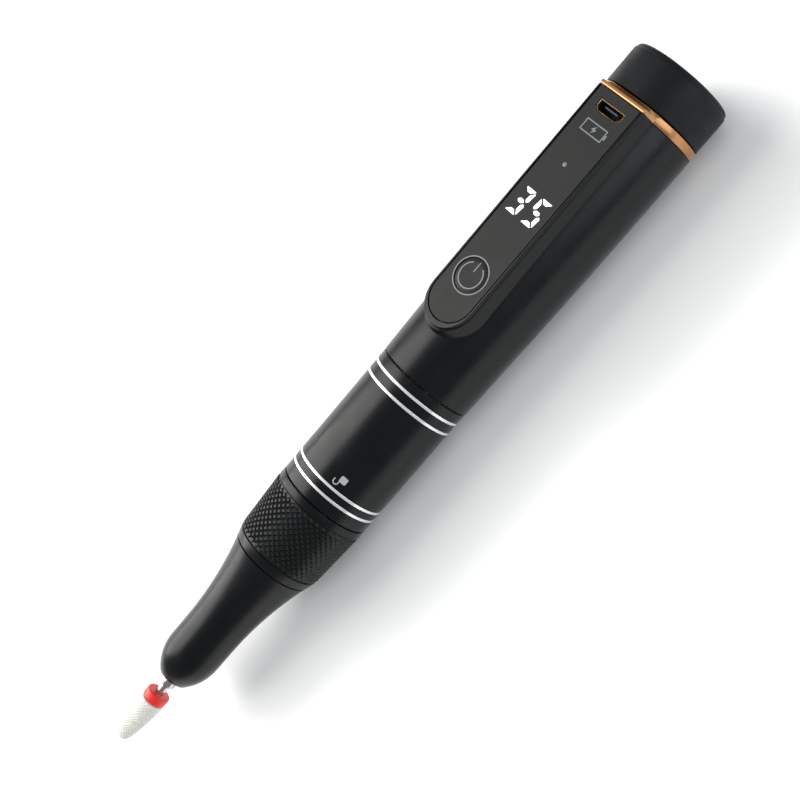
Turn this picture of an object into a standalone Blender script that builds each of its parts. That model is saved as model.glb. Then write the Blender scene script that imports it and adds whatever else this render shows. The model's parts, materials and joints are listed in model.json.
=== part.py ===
"""Cordless pen-type electric nail drill, lying along X with its bit towards -X and its control panel up.

All dimensions below are millimetres. The origin is under the middle of the pen, on the surface it lies on.
Stations (names ending in _X) are measured along X from the middle of the whole length, bit included.
Heights named *_UP and radii are measured from the pen's axis, which runs AXIS_HEIGHT above the origin.
"""

import math

import bmesh
import bpy
from mathutils import Matrix, Vector

MM = 0.001
CLEARANCE = 0.3
SHELL_SEGMENTS = 36
INNER_SEGMENTS = 20
SMALL_SEGMENTS = 12

# Overall
AXIS_HEIGHT = 13.15
HALF_LENGTH = 103.9

# Stations of the outer shells
NOSE_TIP_X = -82.5
NOSE_WAIST_X = -73.2
NOSE_FLARE_X = -68.0
GRIP_JOINT_X = -42.8
KNURL_FRONT_X = -40.0
KNURL_REAR_X = -25.0
SLEEVE_FRONT_X = -22.6
SLEEVE_REAR_X = 14.5
LOCK_RING_X = (-19.05, -16.55, 8.6, 11.6)
CASING_END_X = 90.6
TRIM_REAR_X = 92.7
KNOB_ROUND_X = 101.7

# Radii of the outer shells
NOSE_MOUTH_R = 3.3
NOSE_TIP_R = 3.9
NOSE_WAIST_R = 7.18
NOSE_REAR_R = 10.62
GRIP_FRONT_R = 10.7
KNURL_FRONT_R = 11.47
KNURL_REAR_R = 12.24
SLEEVE_R = 12.12
SLEEVE_BORE_R = 10.8
CASING_FRONT_R = 12.2
CASING_REAR_R = 13.05
TRIM_R = AXIS_HEIGHT
KNOB_R = 12.95
LOCK_RING_WIDTH = 0.7
LOCK_RING_DEPTH = 0.6

# Control pod on the rear casing
POD_TOP_UP = 14.58
POD_CHAMFER_UP = 14.25
POD_FOOT_UP = 8.0
POD_ROUND_X = 34.86
POD_TOP_HALF = 6.6
POD_CHAMFER_HALF = 6.85
POD_FOOT_HALF = 8.35
POD_TOP_REACH = 7.65
POD_CHAMFER_REACH = 7.9
POD_FOOT_REACH = 11.7
TRIM_SLOPE_HALF = 7.0
TRIM_SLOPE_UP = 13.1
TRIM_SLOPE_REACH = 1.1
PANEL_HALF = 6.03
PANEL_TOP_UP = 14.5
PANEL_UNDER_UP = 13.3
SLOT_HALF = 5.4
SLOT_FRONT_X = 31.0
BUTTON_X = 40.95
BUTTON_R = 4.2
DISPLAY_X = 60.4
LAMP_X = 72.3
SOCKET_X = 86.8

# Works
FRAME_R = 10.5
SPINDLE_R = 2.5
BEARING_R = 5.5
FRONT_BEARING_X = -74.0
REAR_BEARING_X = -50.0
BEARING_WIDTH = 4.0
LOCK_PIN_X = -17.2
LOCK_TWIST = 60.0
CROSS_PIN_X = -38.25
COLLET_TRAVEL = 1.0
MOTOR_R = 8.6
BATTERY_R = 9.1
BATTERY_FRONT_X = 20.3
BATTERY_LENGTH = 65.0
BATTERY_UP = -1.4
BOARD_TOP_UP = 11.6
BOARD_THICKNESS = 1.0
BOARD_SCREW_X = (34.0, 78.0)

# Bit
SHANK_R = 1.175
BIT_COLLAR_R = 3.175
BIT_COLLAR_X = (-90.4, -88.0)
HEAD_R = 3.25
HEAD_LENGTH = 13.2
HEAD_FULL_AT = 12.4

PEN = None
CUTTERS = None


def clear_scene():
    for item in list(bpy.data.objects):
        bpy.data.objects.remove(item, do_unlink=True)


def new_collection(name):
    collection = bpy.data.collections.new(name)
    bpy.context.scene.collection.children.link(collection)
    return collection


def material(name, colour, roughness, metallic=0.0):
    made = bpy.data.materials.get(name)
    if made is None:
        made = bpy.data.materials.new(name)
        made.use_nodes = True
        shader = made.node_tree.nodes["Principled BSDF"]
        shader.inputs["Base Color"].default_value = (*colour, 1.0)
        shader.inputs["Roughness"].default_value = roughness
        shader.inputs["Metallic"].default_value = metallic
    return made


def add_object(name, mesh, surface=None):
    """Puts a mesh in the scene, as a part if it has a material and as a cutter if not."""
    made = bpy.data.objects.new(name, mesh)
    if surface is None:
        CUTTERS.objects.link(made)
        made.hide_render = True
        made.display_type = "WIRE"
    else:
        PEN.objects.link(made)
        mesh.materials.append(surface)
    return made


def mesh_from(name, shape):
    mesh = bpy.data.meshes.new(name)
    shape.to_mesh(mesh)
    shape.free()
    return mesh


def turned(name, profile, surface=None, segments=INNER_SEGMENTS, upright_at=None):
    """A turned piece: profile lists (station, radius), rear to front outside, then back along the bore.

    A profile that starts and ends on the axis is left open there, and any other is a closed loop. Radii
    are those of the flats, and a flat faces straight down. Upright pieces turn about Z at upright_at,
    and their stations are heights above the pen's axis.
    """
    half_step = math.pi / segments
    to_corner = 1.0 / math.cos(half_step)
    shape = bmesh.new()
    corners = []
    for station, radius in profile:
        across = radius * to_corner
        place = (across * math.cos(half_step), across * math.sin(half_step), station)
        corners.append(shape.verts.new(Vector(place) * MM))
    for start, end in zip(corners, corners[1:]):
        shape.edges.new((start, end))
    if profile[0][1] > 0.0:
        shape.edges.new((corners[-1], corners[0]))
    made = add_object(name, mesh_from(name, shape), surface)
    if upright_at is None:
        made.location = (0.0, 0.0, AXIS_HEIGHT * MM)
        made.rotation_euler = (0.0, math.pi / 2, 0.0)
    else:
        made.location = (upright_at * MM, 0.0, AXIS_HEIGHT * MM)
    screw = made.modifiers.new("Turn", "SCREW")
    screw.axis = "Z"
    screw.steps = segments
    screw.render_steps = segments
    screw.use_merge_vertices = True
    screw.merge_threshold = 0.00001
    screw.use_smooth_shade = segments >= INNER_SEGMENTS
    return made


def block(name, low, high, surface=None):
    """A box between two corners, given along the pen, across it and above its axis."""
    shape = bmesh.new()
    bmesh.ops.create_cube(shape, size=1.0)
    size = [b - a for a, b in zip(low, high)]
    middle = [(a + b) / 2 for a, b in zip(low, high)]
    bmesh.ops.transform(shape, matrix=Matrix.Diagonal((*size, 1.0)), verts=shape.verts)
    bmesh.ops.translate(shape, vec=middle, verts=shape.verts)
    bmesh.ops.scale(shape, vec=(MM, MM, MM), verts=shape.verts)
    made = add_object(name, mesh_from(name, shape), surface)
    made.location = (0.0, 0.0, AXIS_HEIGHT * MM)
    return made


def pod_outline(half_width, reach, rear_x, steps=12):
    """Half an ellipse round the pod's front, closed by a straight rear edge."""
    points = [(rear_x, half_width)]
    for step in range(steps + 1):
        angle = math.pi / 2 + math.pi * step / steps
        x = POD_ROUND_X + reach * math.cos(angle)
        points.append((x, half_width * math.sin(angle)))
    points.append((rear_x, -half_width))
    return points


def lofted(name, levels, surface=None):
    """A solid through outlines with equally many points, each given with its height above the axis."""
    shape = bmesh.new()
    rings = []
    for outline, up in levels:
        rings.append([shape.verts.new(Vector((x, y, up)) * MM) for x, y in outline])
    shape.faces.new(rings[0])
    shape.faces.new(rings[-1])
    for lower, upper in zip(rings, rings[1:]):
        for i in range(len(lower)):
            j = (i + 1) % len(lower)
            shape.faces.new((lower[i], lower[j], upper[j], upper[i]))
    bmesh.ops.recalc_face_normals(shape, faces=shape.faces)
    made = add_object(name, mesh_from(name, shape), surface)
    made.location = (0.0, 0.0, AXIS_HEIGHT * MM)
    return made


def combine(target, operation, others):
    for other in others:
        change = target.modifiers.new(other.name, "BOOLEAN")
        change.operation = operation
        change.solver = "EXACT"
        change.object = other


def cut(target, *others):
    combine(target, "DIFFERENCE", others)


def join(target, *others):
    combine(target, "UNION", others)


def ring_profile(front_x, rear_x, outer_r, inner_r):
    return [(rear_x, outer_r), (front_x, outer_r), (front_x, inner_r), (rear_x, inner_r)]


def rod_profile(front_x, rear_x, radius):
    return [(rear_x, 0.0), (rear_x, radius), (front_x, radius), (front_x, 0.0)]


def wire(name, points, radius, surface):
    """A round wire along a smooth curve through the given points."""
    knots = [Vector(point) for point in points]
    ends = [knots[0] * 2 - knots[1], *knots, knots[-1] * 2 - knots[-2]]
    path = []
    for before, start, end, after in zip(ends, ends[1:], ends[2:], ends[3:]):
        for share in (0.0, 0.5):
            square, cube = share**2, share**3
            point = start * 2 + (end - before) * share
            point += (before * 2 - start * 5 + end * 4 - after) * square
            point += (start * 3 - before - end * 3 + after) * cube
            path.append(point / 2)
    path.append(knots[-1])
    curve_object(name, path, radius, surface)


def curve_object(name, path, radius, surface):
    curve = bpy.data.curves.new(name, "CURVE")
    curve.dimensions = "3D"
    curve.bevel_depth = radius * MM
    curve.bevel_resolution = 2
    curve.use_fill_caps = True
    spline = curve.splines.new("POLY")
    spline.points.add(len(path) - 1)
    for knot, point in zip(spline.points, path):
        knot.co = (*(Vector(point) * MM), 1.0)
    made = bpy.data.objects.new(name, curve)
    made.location = (0.0, 0.0, AXIS_HEIGHT * MM)
    curve.materials.append(surface)
    PEN.objects.link(made)


def satin_black():
    return material("satin_black", (0.012, 0.013, 0.016), 0.38)


def soft_black():
    return material("soft_black", (0.016, 0.017, 0.019), 0.62)


def steel():
    return material("steel", (0.62, 0.62, 0.63), 0.25, 1.0)


def brass():
    return material("brass", (0.72, 0.52, 0.25), 0.3, 1.0)


def frame_metal():
    return material("frame_metal", (0.5, 0.5, 0.52), 0.4, 1.0)


def white_plastic():
    return material("white_plastic", (0.7, 0.7, 0.68), 0.5)


def nose_radius(x):
    """Blunt tip up to the waist, a straight neck, then a parabola that flares to the grip."""
    if x < NOSE_WAIST_X:
        towards_tip = (NOSE_WAIST_X - x) / (NOSE_WAIST_X - NOSE_TIP_X)
        return NOSE_WAIST_R - (NOSE_WAIST_R - NOSE_TIP_R) * towards_tip**2.3
    if x < NOSE_FLARE_X:
        return NOSE_WAIST_R
    towards_grip = (x - NOSE_FLARE_X) / (GRIP_JOINT_X - NOSE_FLARE_X)
    return NOSE_WAIST_R + (NOSE_REAR_R - NOSE_WAIST_R) * towards_grip**2


def make_nose():
    rear_x = GRIP_JOINT_X - CLEARANCE / 2
    outside = [rear_x, -47.0, -52.0, -57.0, -62.0, NOSE_FLARE_X, NOSE_WAIST_X]
    outside += [-75.5, -77.8, -79.8, -81.3, NOSE_TIP_X + 0.35]
    profile = [(x, nose_radius(x)) for x in outside]
    profile += [(NOSE_TIP_X, NOSE_TIP_R - 0.35), (NOSE_TIP_X, NOSE_MOUTH_R)]
    profile += [(-80.9, NOSE_MOUTH_R), (-80.9, 4.5), (-76.3, 4.5), (-76.3, 5.8)]
    profile += [(-53.5, 5.8), (-53.5, 7.3), (rear_x, 7.3)]
    turned("nose_cone", profile, satin_black(), SHELL_SEGMENTS)
    turned("nose_seal", ring_profile(-80.6, -78.3, 4.2, 3.3), soft_black())


def make_grip():
    front_x = GRIP_JOINT_X + CLEARANCE / 2
    rear_x = SLEEVE_FRONT_X - CLEARANCE / 2
    profile = [(rear_x, KNURL_REAR_R - 0.1), (KNURL_REAR_X, KNURL_REAR_R)]
    profile += [(KNURL_FRONT_X, KNURL_FRONT_R), (KNURL_FRONT_X, GRIP_FRONT_R + 0.45)]
    profile += [(front_x, GRIP_FRONT_R), (front_x, 7.3), (-41.0, 7.3), (-41.0, 9.9), (rear_x, 9.9)]
    turned("grip_sleeve", profile, satin_black(), SHELL_SEGMENTS)


def make_inner_frame():
    profile = [(18.9, FRAME_R)]
    for groove_x in (12.9, -20.8):
        profile += [(groove_x + 0.6, FRAME_R), (groove_x + 0.6, 9.9)]
        profile += [(groove_x - 0.6, 9.9), (groove_x - 0.6, FRAME_R)]
        seal = "rear_o_ring" if groove_x > 0 else "front_o_ring"
        bead = [(groove_x + 0.35, 10.5), (groove_x, 10.7), (groove_x - 0.35, 10.5)]
        bead += [(groove_x - 0.35, 10.2), (groove_x, 10.0), (groove_x + 0.35, 10.2)]
        turned(seal, bead, material("o_ring_rubber", (0.02, 0.02, 0.02), 0.7), SHELL_SEGMENTS)
    profile += [(-22.4, FRAME_R), (-22.4, 9.6), (-40.7, 9.6), (-40.7, 7.0), (-53.2, 7.0)]
    profile += [(-53.2, 5.8), (-38.6, 5.8), (-38.6, 7.8), (-14.2, 7.8), (-14.2, 8.9), (18.9, 8.9)]
    frame = turned("inner_frame", profile, frame_metal(), SHELL_SEGMENTS)
    slots = []
    for turn in range(4):
        slot = block(f"pin_slot_{turn}", (LOCK_PIN_X - 1.2, -12, -2.2), (LOCK_PIN_X + 1.2, 12, 2.2))
        slot.rotation_euler.x = math.radians(LOCK_TWIST) * turn / 3
        slots.append(slot)
    cut(frame, *slots)


def make_lock():
    front_x = SLEEVE_FRONT_X + CLEARANCE / 2
    rear_x = SLEEVE_REAR_X - CLEARANCE / 2
    groove = LOCK_RING_WIDTH / 2 + CLEARANCE / 2
    profile = [(rear_x, SLEEVE_R)]
    bright = material("bright_ring", (0.85, 0.86, 0.88), 0.15, 1.0)
    for number, x in enumerate(reversed(LOCK_RING_X), 1):
        floor_r = SLEEVE_R - LOCK_RING_DEPTH
        profile += [(x + groove, SLEEVE_R), (x + groove, floor_r)]
        profile += [(x - groove, floor_r), (x - groove, SLEEVE_R)]
        half = LOCK_RING_WIDTH / 2
        band = ring_profile(x - half, x + half, SLEEVE_R + 0.02, floor_r + 0.2)
        turned(f"lock_ring_{number}", band, bright, SHELL_SEGMENTS)
    profile += [(front_x, SLEEVE_R), (front_x, SLEEVE_BORE_R), (rear_x, SLEEVE_BORE_R)]
    turned("lock_sleeve", profile, satin_black(), SHELL_SEGMENTS)
    turned("cam_ring", ring_profile(-36.6, -15.2, 7.4, 5.5), steel())
    for number, side in enumerate((1, -1), 1):
        low, high = sorted((side * 7.7, side * 10.5))
        pin = turned(f"lock_pin_{number}", rod_profile(low, high, 0.9), steel(), SMALL_SEGMENTS, LOCK_PIN_X)
        pin.rotation_euler.x = -math.pi / 2


def make_bearing(name, middle_x, race):
    """Outer race, inner race and ball cage of a 5 x 11 x 4 bearing."""
    front_x = middle_x - BEARING_WIDTH / 2
    rear_x = middle_x + BEARING_WIDTH / 2
    turned(f"{name}_outer_race", ring_profile(front_x, rear_x, BEARING_R, 4.7), race)
    turned(f"{name}_inner_race", ring_profile(front_x, rear_x, 3.35, SPINDLE_R + 0.1), race)
    cage = ring_profile(middle_x - 0.8, middle_x + 0.8, 4.3, 3.75)
    turned(f"{name}_ball_cage", cage, brass())


def make_bearings():
    race = material("bearing_steel", (0.7, 0.7, 0.72), 0.2, 1.0)
    make_bearing("front_bearing", FRONT_BEARING_X, race)
    make_bearing("rear_bearing", REAR_BEARING_X, race)
    turned("preload_washer", ring_profile(-71.4, -70.9, 5.4, 4.0), steel())
    turned("bearing_spacer", ring_profile(-70.5, -54.0, 5.5, 4.6), frame_metal())


def make_spindle():
    profile = [(-35.5, SPINDLE_R), (-77.5, SPINDLE_R), (-77.5, 2.95), (-82.1, 2.95), (-82.1, 2.45)]
    profile += [(-79.2, 2.45), (-79.2, 2.05), (-35.5, 2.05)]
    spindle = turned("spindle", profile, steel())
    slot_front_x = CROSS_PIN_X - COLLET_TRAVEL - 1.0
    cut(spindle, block("cross_pin_slot", (slot_front_x, -4, -1.0), (CROSS_PIN_X + 1.0, 4, 1.0)))

    profile = [(-32.0, 0.0), (-32.0, 1.3), (-26.0, 1.3), (-26.0, 3.2), (-35.2, 3.2), (-35.2, 0.0)]
    turned("drive_coupling", profile, material("coupling_plastic", (0.75, 0.74, 0.7), 0.5))


def make_collet():
    profile = [(-39.3, 1.75), (-80.2, 1.75), (-81.0, 2.1), (-84.8, 2.1), (-85.1, 1.8), (-85.1, 1.3)]
    profile += [(-39.3, 1.3)]
    collet = turned("collet", profile, steel(), SMALL_SEGMENTS)
    across = block("collet_slit_across", (-86, -3, -0.15), (-70, 3, 0.15))
    upright = block("collet_slit_upright", (-86, -0.15, -3), (-70, 0.15, 3))
    cut(collet, across, upright)

    draw_collar = turned("draw_collar", ring_profile(-39.5, -37.0, 5.2, 2.85), steel())
    pin = turned("cross_pin", rod_profile(-4.0, 4.0, 0.7), None, SMALL_SEGMENTS, CROSS_PIN_X)
    pin.rotation_euler.x = -math.pi / 2
    join(draw_collar, pin)

    turns, steps, coil_r, wire_r = 4, 10, 3.6, 0.35
    path = []
    for step in range(turns * steps + 1):
        angle = 2 * math.pi * step / steps
        x = -47.2 + 5.9 * step / (turns * steps)
        path.append((x, coil_r * math.cos(angle), coil_r * math.sin(angle)))
    curve_object("collet_spring", path, wire_r, steel())


def make_bit():
    head_rear_x = -HALF_LENGTH + HEAD_LENGTH
    profile = [(head_rear_x, HEAD_R - 0.25)]
    for share in (0.94, 0.75, 0.5, 0.3, 0.15, 0.06, 0.015):
        reach = share * HEAD_LENGTH
        radius = HEAD_R * min(reach / HEAD_FULL_AT, 1.0) ** 0.25
        profile.append((-HALF_LENGTH + reach, radius))
    profile.append((-HALF_LENGTH, 0.0))
    profile = [(-98.3, 0.0), (-98.3, 1.475), (head_rear_x, 1.475), *profile]
    turned("bit_head", profile, material("ceramic", (0.86, 0.86, 0.84), 0.45), INNER_SEGMENTS)

    front_x, rear_x = BIT_COLLAR_X
    profile = [(rear_x, BIT_COLLAR_R - 0.4), (rear_x - 0.4, BIT_COLLAR_R)]
    profile += [(front_x + 0.4, BIT_COLLAR_R), (front_x, BIT_COLLAR_R - 0.4)]
    profile += [(front_x, 1.475), (rear_x, 1.475)]
    turned("bit_collar", profile, material("red_plastic", (0.7, 0.02, 0.03), 0.4), INNER_SEGMENTS)

    profile = [(-60.0, 0.0), (-60.0, 0.9), (-60.4, SHANK_R), (-98.0, SHANK_R), (-98.0, 0.0)]
    turned("bit_shank", profile, steel(), SMALL_SEGMENTS)


def make_motor():
    turned("motor_mount", ring_profile(-13.9, -12.7, MOTOR_R, 3.5), frame_metal())
    profile = [(12.5, MOTOR_R), (-12.4, MOTOR_R), (-12.4, 1.4), (-11.6, 1.4), (-11.6, 7.9), (12.5, 7.9)]
    turned("motor_can", profile, steel())
    magnet = material("magnet", (0.1, 0.1, 0.11), 0.5, 0.6)
    turned("motor_magnet", ring_profile(-9.0, 8.0, 7.6, 6.4), magnet)
    profile = [(11.0, 2.6), (7.3, 2.6), (7.3, 6.1), (-8.0, 6.1), (-8.0, 1.3), (11.0, 1.3)]
    turned("motor_rotor", profile, material("copper_winding", (0.7, 0.3, 0.12), 0.4, 1.0))
    turned("motor_shaft", rod_profile(-31.0, 13.6, 1.0), steel(), SMALL_SEGMENTS)
    profile = [(15.6, 0.0), (15.6, MOTOR_R), (12.8, MOTOR_R), (12.8, 1.4), (14.4, 1.4), (14.4, 0.0)]
    turned("motor_cap", profile, white_plastic())
    for name, side in (("motor_lead_red", 1), ("motor_lead_black", -1)):
        route = [(16.2, 3, 3.5), (17.0, 3, 5.4), (18.2, 3, 7.0), (19.8, 3, 8.2), (23, 3, 9.2), (31, 3, 9.7)]
        make_lead(name, route, side)


def make_lead(name, route, side):
    points = [(x, y * side, up) for x, y, up in route]
    if side > 0:
        surface = material("red_insulation", (0.6, 0.02, 0.02), 0.5)
    else:
        surface = material("black_insulation", (0.02, 0.02, 0.02), 0.5)
    wire(name, points, 0.45, surface)


def make_battery():
    profile = rod_profile(BATTERY_FRONT_X, BATTERY_FRONT_X + BATTERY_LENGTH, BATTERY_R)
    cell = turned("battery_cell", profile, material("cell_wrap", (0.05, 0.18, 0.42), 0.4))
    cell.location.z += BATTERY_UP * MM
    foam = material("grey_foam", (0.2, 0.2, 0.2), 0.9)
    block("battery_pad", (37.0, -4.5, 8.0), (75.0, 4.5, 10.2), foam)
    for name, side in (("battery_lead_red", 1), ("battery_lead_black", -1)):
        route = [(86.0, 2.5, 3), (86.2, 2.5, 5.4), (85.9, 2.5, 7.6), (84.6, 2.5, 9.0), (80, 2.5, 9.8)]
        make_lead(name, route, side)


def pod_levels(rear_x):
    """The flared pod: foot, chamfer edge and flat top."""
    foot = (pod_outline(POD_FOOT_HALF, POD_FOOT_REACH, rear_x), POD_FOOT_UP)
    chamfer = (pod_outline(POD_CHAMFER_HALF, POD_CHAMFER_REACH, rear_x), POD_CHAMFER_UP)
    top = (pod_outline(POD_TOP_HALF, POD_TOP_REACH, rear_x), POD_TOP_UP)
    return [foot, chamfer, top]


def make_rear_housing():
    front_x = SLEEVE_REAR_X + CLEARANCE / 2
    profile = [(CASING_END_X, CASING_REAR_R), (68.0, CASING_REAR_R), (49.0, 12.9), (28.0, 12.45)]
    profile += [(front_x, CASING_FRONT_R), (front_x, SLEEVE_BORE_R), (19.4, SLEEVE_BORE_R)]
    profile += [(20.0, 11.1), (49.0, 11.5), (CASING_END_X, 11.6)]
    housing = turned("rear_housing", profile, satin_black(), SHELL_SEGMENTS)
    pod = lofted("pod_body", pod_levels(CASING_END_X))
    bore_profile = [(CASING_END_X + 1, 0.0), (CASING_END_X + 1, 11.6), (49.0, 11.5), (20.0, 11.1)]
    bore_profile += [(18.0, 11.1), (18.0, 0.0)]
    bore = turned("pod_bore", bore_profile, None, SHELL_SEGMENTS)
    slot = block("pod_slot", (SLOT_FRONT_X, -SLOT_HALF, 4.0), (CASING_END_X + 1, SLOT_HALF, 13.2))
    recess_half = PANEL_HALF + CLEARANCE
    edge = pod_outline(recess_half, recess_half, CASING_END_X + 1)
    recess = lofted("panel_recess", [(edge, PANEL_UNDER_UP - CLEARANCE), (edge, POD_TOP_UP + 1)])
    join(housing, pod)
    cut(housing, bore, slot, recess)


def make_trim_ring():
    front_x = CASING_END_X + 0.1
    ring = turned("trim_ring", ring_profile(front_x, TRIM_REAR_X, TRIM_R, 10.6),
                  material("rose_gold", (0.75, 0.42, 0.22), 0.25, 1.0), SHELL_SEGMENTS)
    levels = []
    for half, rear_x, up in (
        (POD_FOOT_HALF, TRIM_REAR_X, POD_FOOT_UP),
        (TRIM_SLOPE_HALF, TRIM_REAR_X, TRIM_SLOPE_UP),
        (POD_CHAMFER_HALF, TRIM_REAR_X - TRIM_SLOPE_REACH, POD_TOP_UP),
    ):
        levels.append(([(front_x, -half), (rear_x, -half), (rear_x, half), (front_x, half)], up))
    ear = lofted("trim_ear", levels)
    bore = turned("trim_bore", rod_profile(front_x - 1, TRIM_REAR_X + 1, 10.6), None, SHELL_SEGMENTS)
    join(ring, ear)
    cut(ring, bore)


def make_panel():
    rear_x = CASING_END_X - 0.1
    edge = pod_outline(PANEL_HALF, PANEL_HALF, rear_x)
    grey = material("panel_grey", (0.045, 0.047, 0.045), 0.42)
    panel = lofted("control_panel", [(edge, PANEL_UNDER_UP), (edge, PANEL_TOP_UP)], grey)
    bosses, holes = [], []
    for number, x in enumerate(BOARD_SCREW_X, 1):
        bosses.append(upright_rod(f"boss_{number}", x, BOARD_TOP_UP + CLEARANCE, PANEL_UNDER_UP + 0.2, 1.5))
        holes.append(upright_rod(f"boss_hole_{number}", x, BOARD_TOP_UP, PANEL_UNDER_UP - CLEARANCE, 0.85))
    button_hole = upright_rod("button_hole", BUTTON_X, 12.0, 15.0, BUTTON_R + CLEARANCE, None, 24)
    lamp_hole = upright_rod("lamp_hole", LAMP_X, 12.0, 15.0, 0.85)
    socket_hole = block("socket_hole", (SOCKET_X - 1.75, -4.2, 12.0), (SOCKET_X + 1.75, 4.2, 15.0))
    join(panel, *bosses)
    cut(panel, *holes, button_hole, lamp_hole, socket_hole)


def upright_rod(name, x, low, high, radius, surface=None, segments=SMALL_SEGMENTS):
    return turned(name, rod_profile(low, high, radius), surface, segments, x)


def make_controls():
    profile = [(PANEL_TOP_UP + 0.05, 0.0), (PANEL_TOP_UP + 0.05, BUTTON_R), (13.0, BUTTON_R)]
    profile += [(13.0, 4.9), (12.7, 4.9), (12.7, 0.0)]
    turned("power_button", profile, satin_black(), 24, BUTTON_X)
    low = (DISPLAY_X - 4.5, -4.7, BOARD_TOP_UP + CLEARANCE)
    dark_glass = material("display_glass", (0.01, 0.01, 0.012), 0.1)
    block("display_module", low, (DISPLAY_X + 4.5, 4.7, PANEL_UNDER_UP - CLEARANCE), dark_glass)
    lens = material("lamp_lens", (0.4, 0.41, 0.42), 0.3)
    upright_rod("indicator_led", LAMP_X, BOARD_TOP_UP + CLEARANCE, PANEL_TOP_UP, 0.55, lens)
    half_x, half_y, top = 1.45, 3.9, PANEL_TOP_UP - 0.1
    low = (SOCKET_X - half_x, -half_y, 9.4)
    socket = block("usb_socket", low, (SOCKET_X + half_x, half_y, top), brass())
    mouth = block("socket_mouth", (SOCKET_X - 1.15, -3.6, 10.0), (SOCKET_X + 1.15, 3.6, top + 1))
    tongue = block("socket_tongue", (SOCKET_X - 0.2, -2.2, 9.6), (SOCKET_X + 0.4, 2.2, top - 0.8))
    cut(socket, mouth)
    join(socket, tongue)


def make_board():
    low_up = BOARD_TOP_UP - BOARD_THICKNESS
    green = material("board_green", (0.01, 0.12, 0.05), 0.45)
    board = block("control_board", (31.5, -5.0, low_up), (84.8, 5.0, BOARD_TOP_UP), green)
    holes = []
    for number, x in enumerate(BOARD_SCREW_X, 1):
        holes.append(upright_rod(f"board_hole_{number}", x, low_up - 1, BOARD_TOP_UP + 1, 0.9))
        head_top = low_up - CLEARANCE
        profile = [(12.7, 0.0), (12.7, 0.55), (head_top, 0.55), (head_top, 1.3)]
        profile += [(head_top - 0.8, 1.3), (head_top - 0.8, 0.0)]
        turned(f"board_screw_{number}", profile, steel(), SMALL_SEGMENTS, x)
    cut(board, *holes)
    dark = material("switch_black", (0.03, 0.03, 0.03), 0.5)
    low = (BUTTON_X - 2, -2, BOARD_TOP_UP + 0.2)
    block("tact_switch", low, (BUTTON_X + 2, 2, 12.25), dark)


def make_tail():
    profile = ring_profile(89.2, 90.3, 11.2, 3.6)
    turned("end_plate", profile, white_plastic(), SHELL_SEGMENTS)
    sensor = [(87.3, 0.0), (87.3, 1.75), (91.5, 1.75), (91.5, 3.2), (88.9, 3.2), (88.9, 6.2)]
    sensor += [(86.9, 6.2), (86.9, 0.0)]
    turned("speed_sensor", sensor, material("sensor_blue", (0.05, 0.12, 0.3), 0.4))
    turned("sensor_shaft", rod_profile(87.7, 99.8, 1.45), white_plastic(), SMALL_SEGMENTS)

    front_x = TRIM_REAR_X + CLEARANCE
    end_x = HALF_LENGTH - 0.3
    round_r = end_x - KNOB_ROUND_X
    profile = [(end_x, KNOB_R - round_r)]
    for step in range(1, 5):
        angle = math.pi / 2 * step / 4
        radius = KNOB_R - round_r + round_r * math.sin(angle)
        profile.append((KNOB_ROUND_X + round_r * math.cos(angle), radius))
    profile += [(front_x, KNOB_R), (front_x, 11.2), (100.5, 11.2), (100.5, 3.4), (94.0, 3.4)]
    profile += [(94.0, 1.75), (100.8, 1.75), (100.8, 0.0)]
    pocket_x = end_x - 1.2
    profile = [(pocket_x, 0.0), (pocket_x, 9.6), (end_x, 9.6), *profile]
    turned("speed_knob", profile, soft_black(), SHELL_SEGMENTS)
    turned("knob_disc", rod_profile(pocket_x + CLEARANCE, HALF_LENGTH, 9.3), satin_black(), SHELL_SEGMENTS)


def main():
    global PEN, CUTTERS
    clear_scene()
    PEN = new_collection("nail_drill")
    CUTTERS = new_collection("cutters")
    make_nose()
    make_inner_frame()
    make_grip()
    make_lock()
    make_bearings()
    make_spindle()
    make_collet()
    make_bit()
    make_motor()
    make_battery()
    make_rear_housing()
    make_trim_ring()
    make_panel()
    make_controls()
    make_board()
    make_tail()


main()
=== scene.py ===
"""Looks of the cordless nail drill: shells, knurling, controls, bit and studio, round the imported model."""
import json
import math

import bmesh
import bpy
from mathutils import Matrix, Vector


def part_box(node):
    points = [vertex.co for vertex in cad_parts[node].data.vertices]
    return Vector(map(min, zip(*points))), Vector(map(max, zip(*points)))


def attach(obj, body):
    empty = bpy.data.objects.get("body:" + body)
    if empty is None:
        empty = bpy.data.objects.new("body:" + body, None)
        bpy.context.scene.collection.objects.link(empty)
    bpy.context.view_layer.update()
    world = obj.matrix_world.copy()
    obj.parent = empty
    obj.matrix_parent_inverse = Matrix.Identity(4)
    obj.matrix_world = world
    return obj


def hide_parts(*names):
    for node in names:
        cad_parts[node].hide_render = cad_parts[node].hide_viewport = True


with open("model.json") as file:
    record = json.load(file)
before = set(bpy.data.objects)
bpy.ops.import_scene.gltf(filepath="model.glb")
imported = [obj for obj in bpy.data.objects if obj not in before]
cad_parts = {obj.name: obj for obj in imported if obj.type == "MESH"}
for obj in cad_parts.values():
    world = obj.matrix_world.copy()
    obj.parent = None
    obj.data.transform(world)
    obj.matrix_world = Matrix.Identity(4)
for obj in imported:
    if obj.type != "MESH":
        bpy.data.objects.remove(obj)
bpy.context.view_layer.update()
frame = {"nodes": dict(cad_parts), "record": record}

# Lengths are millimetres. Stations run along X, and heights and radii are from the pen's axis.
MM = 0.001
AXIS_UP = (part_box("speed_knob")[0].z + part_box("speed_knob")[1].z) / 2 / MM
ROUND = 192
SMALL_ROUND = 64


# ---------------------------------------------------------------- measures from the CAD model

def front_of(node):
    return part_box(node)[0].x / MM


def rear_of(node):
    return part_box(node)[1].x / MM


def half_width(node):
    low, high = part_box(node)
    return (high.y - low.y) / 2 / MM


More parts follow.
